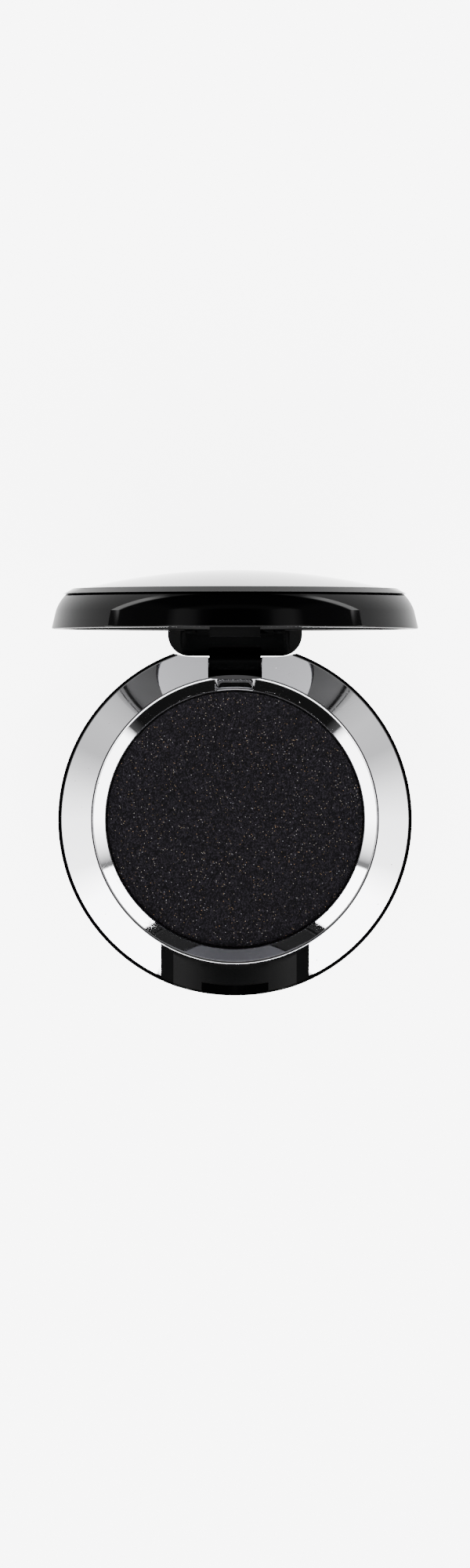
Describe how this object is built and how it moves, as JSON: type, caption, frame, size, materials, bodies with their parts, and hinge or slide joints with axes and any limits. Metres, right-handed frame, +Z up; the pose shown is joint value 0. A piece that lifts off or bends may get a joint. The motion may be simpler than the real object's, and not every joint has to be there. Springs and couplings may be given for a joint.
{
  "type": "eyeshadow compact",
  "caption": "Round single-shade eyeshadow compact: black base with bright bevelled ring round a pan of pressed powder, hinged domed lid with gloss inner panel.",
  "frame": {"origin": "centre of the base's flat foot, on the table", "axes": "+Z up out of the powder, +Y back towards the hinge, +X along the hinge pin to the user's right"},
  "size_m": [0.041, 0.0478, 0.0422],
  "materials": {
    "black_gloss_shell": "high-gloss black moulded plastic",
    "black_gloss_frame": "polished black moulded plastic",
    "bright_plating": "bright metallised plating on moulded plastic",
    "pan_aluminium": "drawn aluminium",
    "pressed_powder": "pressed charcoal powder with fine gold and silver sparkle",
    "adhesive": "pressure sensitive adhesive foam",
    "pin_steel": "drawn stainless steel",
    "label_paper": "blank satin label film",
    "panel_gloss": "flat polished black acrylic sheet"
  },
  "bodies": {
    "base": {"base_shell": "black_gloss_shell", "inner_frame": "black_gloss_frame", "bright_ring": "bright_plating", "metal_pan": "pan_aluminium", "pressed_powder": "pressed_powder", "pan_adhesive": "adhesive", "hinge_pin": "pin_steel", "base_label": "label_paper"},
    "lid": {"lid_shell": "black_gloss_shell", "lid_frame": "black_gloss_frame", "panel": "panel_gloss", "panel_tape": "adhesive"}
  },
  "joints": [
    {"name": "lid_hinge", "type": "hinge", "parent": "base", "child": "lid", "pos_m": [0, 0.0174, 0.0043], "axis": [1, 0, 0], "range_deg": [0, 90]}
  ]
}
